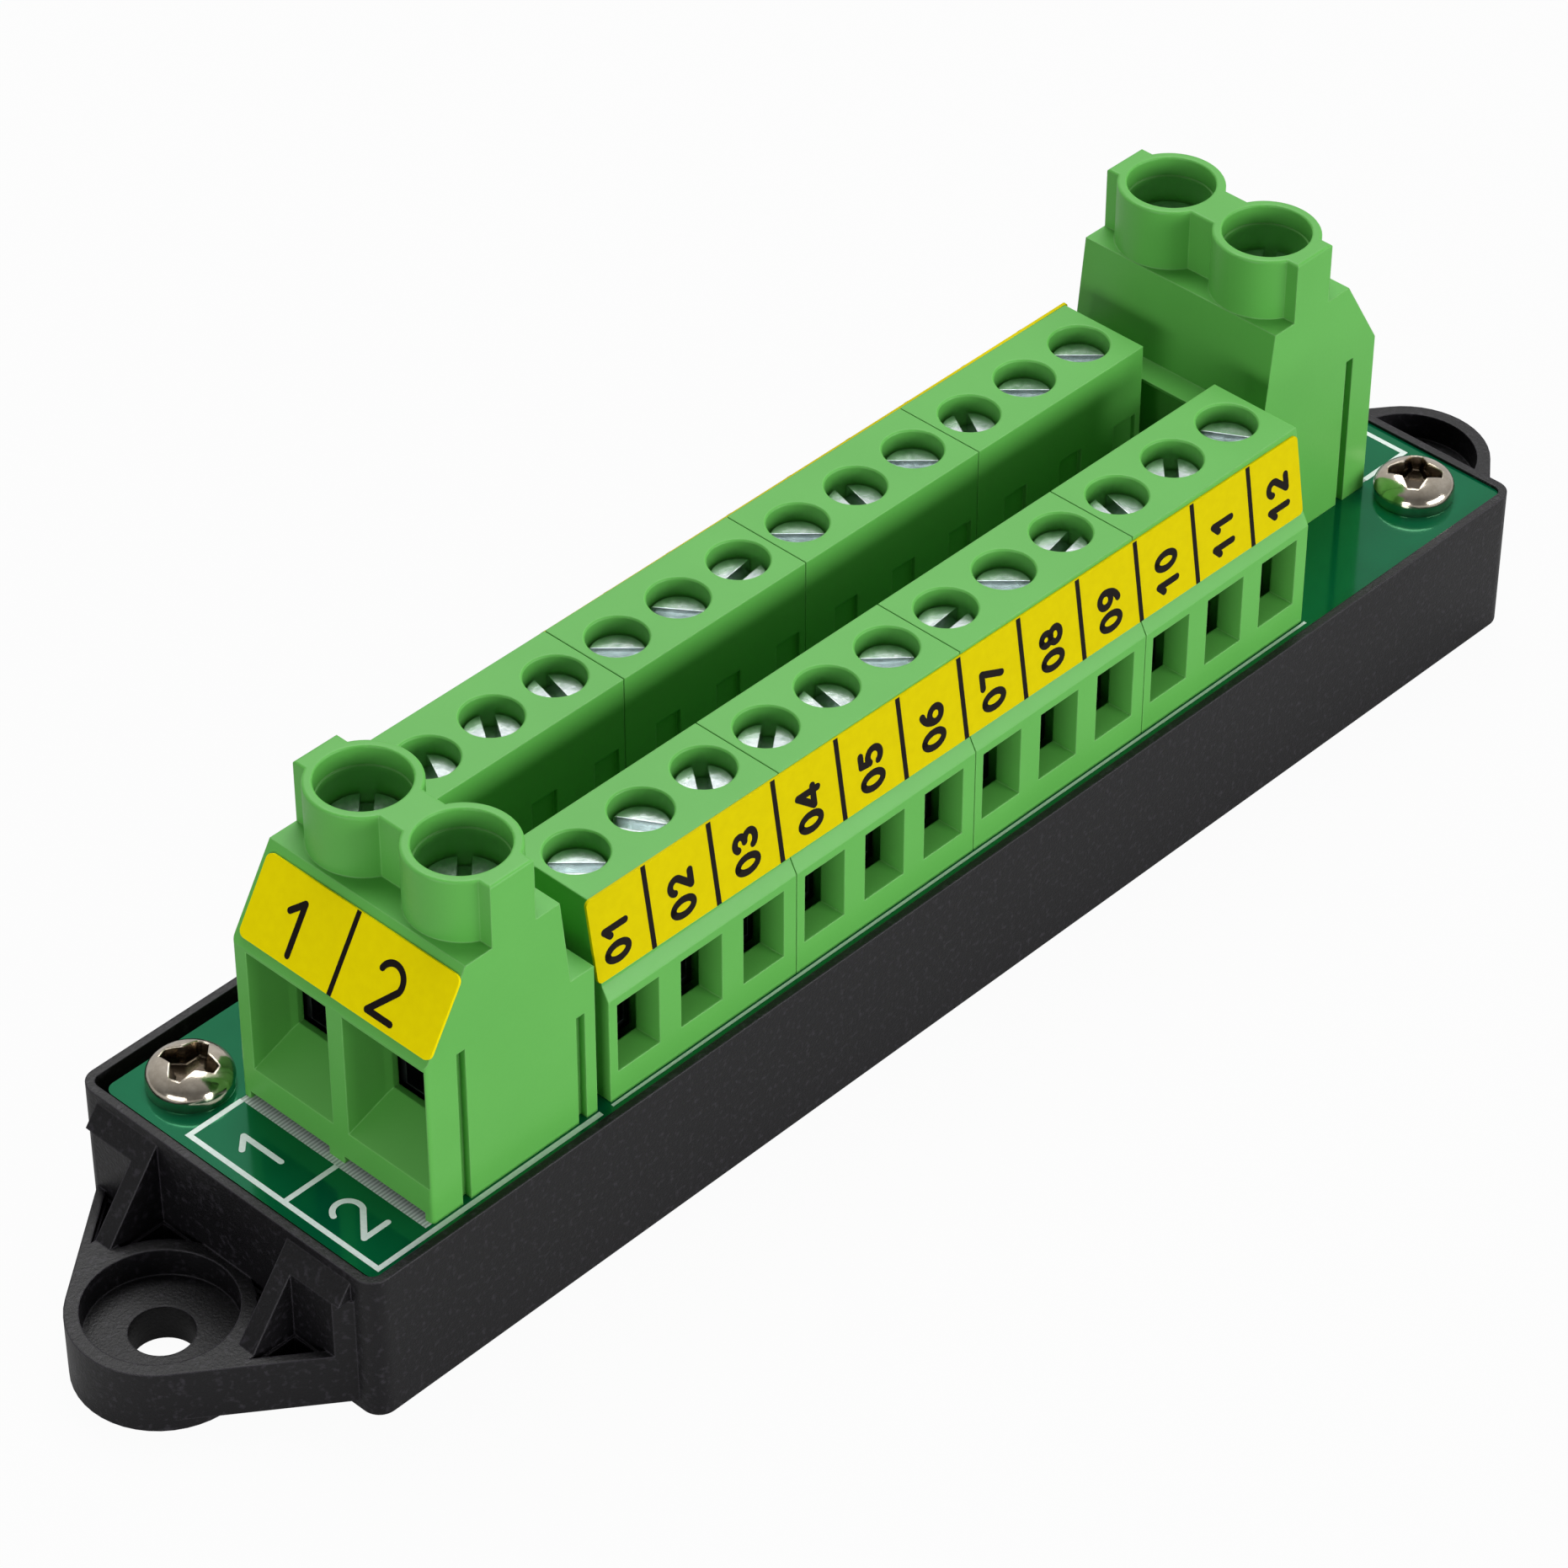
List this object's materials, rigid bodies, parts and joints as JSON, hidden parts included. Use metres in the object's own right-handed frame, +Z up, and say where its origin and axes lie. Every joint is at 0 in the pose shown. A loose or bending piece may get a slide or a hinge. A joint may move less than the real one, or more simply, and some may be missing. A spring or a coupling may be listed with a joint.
{
  "type": "terminal block",
  "caption": "Distribution terminal block with two rows of screw clamps and tall feed clamps at the ends, on a black eared carrier.",
  "frame": {"origin": "centre of the base, in the plane that the carrier rests on", "axes": "+X along the carrier from ear to ear, +Z up out of the board, the front row on the -Y side"},
  "size_m": [0.1194, 0.024, 0.0309],
  "materials": {
    "carrier_plastic": "fine grained",
    "board_laminate": "solder resist, glossy",
    "nickel_steel": "nickel plated",
    "housing_plastic": "satin",
    "label_film": "satin, printed",
    "zinc_steel": "zinc plated",
    "plated_steel": "zinc plated",
    "tinned_copper": "tin plated"
  },
  "bodies": {
    "block": {"carrier_tray": "carrier_plastic", "circuit_board": "board_laminate", "board_screws": "nickel_steel", "front_housing_1": "housing_plastic", "front_housing_2": "housing_plastic", "front_housing_3": "housing_plastic", "front_housing_4": "housing_plastic", "rear_housing_1": "housing_plastic", "rear_housing_2": "housing_plastic", "rear_housing_3": "housing_plastic", "rear_housing_4": "housing_plastic", "left_feed_housing": "housing_plastic", "right_feed_housing": "housing_plastic", "front_label_strip": "label_film", "rear_label_strip": "label_film", "left_feed_label": "label_film", "right_feed_label": "label_film", "small_contacts": "tinned_copper", "feed_contacts": "tinned_copper", "front_cages_1": "plated_steel", "front_cages_2": "plated_steel", "front_cages_3": "plated_steel", "front_cages_4": "plated_steel", "rear_cages_1": "plated_steel", "rear_cages_2": "plated_steel", "rear_cages_3": "plated_steel", "rear_cages_4": "plated_steel"},
    "front_screw_01": {"front_screw_01": "zinc_steel"},
    "front_screw_02": {"front_screw_02": "zinc_steel"},
    "front_screw_03": {"front_screw_03": "zinc_steel"},
    "front_screw_04": {"front_screw_04": "zinc_steel"},
    "front_screw_05": {"front_screw_05": "zinc_steel"},
    "front_screw_06": {"front_screw_06": "zinc_steel"},
    "front_screw_07": {"front_screw_07": "zinc_steel"},
    "front_screw_08": {"front_screw_08": "zinc_steel"},
    "front_screw_09": {"front_screw_09": "zinc_steel"},
    "front_screw_10": {"front_screw_10": "zinc_steel"},
    "front_screw_11": {"front_screw_11": "zinc_steel"},
    "front_screw_12": {"front_screw_12": "zinc_steel"},
    "rear_screw_01": {"rear_screw_01": "zinc_steel"},
    "rear_screw_02": {"rear_screw_02": "zinc_steel"},
    "rear_screw_03": {"rear_screw_03": "zinc_steel"},
    "rear_screw_04": {"rear_screw_04": "zinc_steel"},
    "rear_screw_05": {"rear_screw_05": "zinc_steel"},
    "rear_screw_06": {"rear_screw_06": "zinc_steel"},
    "rear_screw_07": {"rear_screw_07": "zinc_steel"},
    "rear_screw_08": {"rear_screw_08": "zinc_steel"},
    "rear_screw_09": {"rear_screw_09": "zinc_steel"},
    "rear_screw_10": {"rear_screw_10": "zinc_steel"},
    "rear_screw_11": {"rear_screw_11": "zinc_steel"},
    "rear_screw_12": {"rear_screw_12": "zinc_steel"},
    "left_feed_screw_1": {"left_feed_screw_1": "zinc_steel"},
    "left_feed_screw_2": {"left_feed_screw_2": "zinc_steel"},
    "right_feed_screw_1": {"right_feed_screw_1": "zinc_steel"},
    "right_feed_screw_2": {"right_feed_screw_2": "zinc_steel"},
    "left_feed_cage_1": {"left_feed_cage_1": "plated_steel"},
    "left_feed_cage_2": {"left_feed_cage_2": "plated_steel"},
    "right_feed_cage_1": {"right_feed_cage_1": "plated_steel"},
    "right_feed_cage_2": {"right_feed_cage_2": "plated_steel"}
  },
  "joints": [
    {"name": "front_screw_01_turn", "type": "hinge", "parent": "block", "child": "front_screw_01", "pos_m": [-0.0275, -0.0059, 0.0228], "axis": [0, 0, -1], "range_deg": [0, 1800]},
    {"name": "front_screw_02_turn", "type": "hinge", "parent": "block", "child": "front_screw_02", "pos_m": [-0.0225, -0.0059, 0.0228], "axis": [0, 0, -1], "range_deg": [0, 1800]},
    {"name": "front_screw_03_turn", "type": "hinge", "parent": "block", "child": "front_screw_03", "pos_m": [-0.0175, -0.0059, 0.0228], "axis": [0, 0, -1], "range_deg": [0, 1800]},
    {"name": "front_screw_04_turn", "type": "hinge", "parent": "block", "child": "front_screw_04", "pos_m": [-0.0125, -0.0059, 0.0228], "axis": [0, 0, -1], "range_deg": [0, 1800]},
    {"name": "front_screw_05_turn", "type": "hinge", "parent": "block", "child": "front_screw_05", "pos_m": [-0.0075, -0.0059, 0.0228], "axis": [0, 0, -1], "range_deg": [0, 1800]},
    {"name": "front_screw_06_turn", "type": "hinge", "parent": "block", "child": "front_screw_06", "pos_m": [-0.0025, -0.0059, 0.0228], "axis": [0, 0, -1], "range_deg": [0, 1800]},
    {"name": "front_screw_07_turn", "type": "hinge", "parent": "block", "child": "front_screw_07", "pos_m": [0.0025, -0.0059, 0.0228], "axis": [0, 0, -1], "range_deg": [0, 1800]},
    {"name": "front_screw_08_turn", "type": "hinge", "parent": "block", "child": "front_screw_08", "pos_m": [0.0075, -0.0059, 0.0228], "axis": [0, 0, -1], "range_deg": [0, 1800]},
    {"name": "front_screw_09_turn", "type": "hinge", "parent": "block", "child": "front_screw_09", "pos_m": [0.0125, -0.0059, 0.0228], "axis": [0, 0, -1], "range_deg": [0, 1800]},
    {"name": "front_screw_10_turn", "type": "hinge", "parent": "block", "child": "front_screw_10", "pos_m": [0.0175, -0.0059, 0.0228], "axis": [0, 0, -1], "range_deg": [0, 1800]},
    {"name": "front_screw_11_turn", "type": "hinge", "parent": "block", "child": "front_screw_11", "pos_m": [0.0225, -0.0059, 0.0228], "axis": [0, 0, -1], "range_deg": [0, 1800]},
    {"name": "front_screw_12_turn", "type": "hinge", "parent": "block", "child": "front_screw_12", "pos_m": [0.0275, -0.0059, 0.0228], "axis": [0, 0, -1], "range_deg": [0, 1800]},
    {"name": "rear_screw_01_turn", "type": "hinge", "parent": "block", "child": "rear_screw_01", "pos_m": [-0.0275, 0.0059, 0.0228], "axis": [0, 0, -1], "range_deg": [0, 1800]},
    {"name": "rear_screw_02_turn", "type": "hinge", "parent": "block", "child": "rear_screw_02", "pos_m": [-0.0225, 0.0059, 0.0228], "axis": [0, 0, -1], "range_deg": [0, 1800]},
    {"name": "rear_screw_03_turn", "type": "hinge", "parent": "block", "child": "rear_screw_03", "pos_m": [-0.0175, 0.0059, 0.0228], "axis": [0, 0, -1], "range_deg": [0, 1800]},
    {"name": "rear_screw_04_turn", "type": "hinge", "parent": "block", "child": "rear_screw_04", "pos_m": [-0.0125, 0.0059, 0.0228], "axis": [0, 0, -1], "range_deg": [0, 1800]},
    {"name": "rear_screw_05_turn", "type": "hinge", "parent": "block", "child": "rear_screw_05", "pos_m": [-0.0075, 0.0059, 0.0228], "axis": [0, 0, -1], "range_deg": [0, 1800]},
    {"name": "rear_screw_06_turn", "type": "hinge", "parent": "block", "child": "rear_screw_06", "pos_m": [-0.0025, 0.0059, 0.0228], "axis": [0, 0, -1], "range_deg": [0, 1800]},
    {"name": "rear_screw_07_turn", "type": "hinge", "parent": "block", "child": "rear_screw_07", "pos_m": [0.0025, 0.0059, 0.0228], "axis": [0, 0, -1], "range_deg": [0, 1800]},
    {"name": "rear_screw_08_turn", "type": "hinge", "parent": "block", "child": "rear_screw_08", "pos_m": [0.0075, 0.0059, 0.0228], "axis": [0, 0, -1], "range_deg": [0, 1800]},
    {"name": "rear_screw_09_turn", "type": "hinge", "parent": "block", "child": "rear_screw_09", "pos_m": [0.0125, 0.0059, 0.0228], "axis": [0, 0, -1], "range_deg": [0, 1800]},
    {"name": "rear_screw_10_turn", "type": "hinge", "parent": "block", "child": "rear_screw_10", "pos_m": [0.0175, 0.0059, 0.0228], "axis": [0, 0, -1], "range_deg": [0, 1800]},
    {"name": "rear_screw_11_turn", "type": "hinge", "parent": "block", "child": "rear_screw_11", "pos_m": [0.0225, 0.0059, 0.0228], "axis": [0, 0, -1], "range_deg": [0, 1800]},
    {"name": "rear_screw_12_turn", "type": "hinge", "parent": "block", "child": "rear_screw_12", "pos_m": [0.0275, 0.0059, 0.0228], "axis": [0, 0, -1], "range_deg": [0, 1800]},
    {"name": "left_feed_screw_1_turn", "type": "hinge", "parent": "block", "child": "left_feed_screw_1", "pos_m": [-0.03675, 0.00081, 0.0275], "axis": [0, 0, -1], "range_deg": [0, 1800]},
    {"name": "left_feed_cage_1_rise", "type": "slide", "parent": "block", "child": "left_feed_cage_1", "axis": [0, 0, 1], "range_m": [0, 0.003]},
    {"name": "left_feed_screw_2_turn", "type": "hinge", "parent": "block", "child": "left_feed_screw_2", "pos_m": [-0.03675, -0.00681, 0.0275], "axis": [0, 0, -1], "range_deg": [0, 1800]},
    {"name": "left_feed_cage_2_rise", "type": "slide", "parent": "block", "child": "left_feed_cage_2", "axis": [0, 0, 1], "range_m": [0, 0.003]},
    {"name": "right_feed_screw_1_turn", "type": "hinge", "parent": "block", "child": "right_feed_screw_1", "pos_m": [0.03675, -0.00081, 0.0275], "axis": [0, 0, -1], "range_deg": [0, 1800]},
    {"name": "right_feed_cage_1_rise", "type": "slide", "parent": "block", "child": "right_feed_cage_1", "axis": [0, 0, 1], "range_m": [0, 0.003]},
    {"name": "right_feed_screw_2_turn", "type": "hinge", "parent": "block", "child": "right_feed_screw_2", "pos_m": [0.03675, 0.00681, 0.0275], "axis": [0, 0, -1], "range_deg": [0, 1800]},
    {"name": "right_feed_cage_2_rise", "type": "slide", "parent": "block", "child": "right_feed_cage_2", "axis": [0, 0, 1], "range_m": [0, 0.003]}
  ],
  "couplings": [
    {"joint": "left_feed_screw_1_turn", "follows": "left_feed_cage_1_rise", "rad_per_m": 10472},
    {"joint": "left_feed_screw_2_turn", "follows": "left_feed_cage_2_rise", "rad_per_m": 10472},
    {"joint": "right_feed_screw_1_turn", "follows": "right_feed_cage_1_rise", "rad_per_m": 10472},
    {"joint": "right_feed_screw_2_turn", "follows": "right_feed_cage_2_rise", "rad_per_m": 10472}
  ]
}
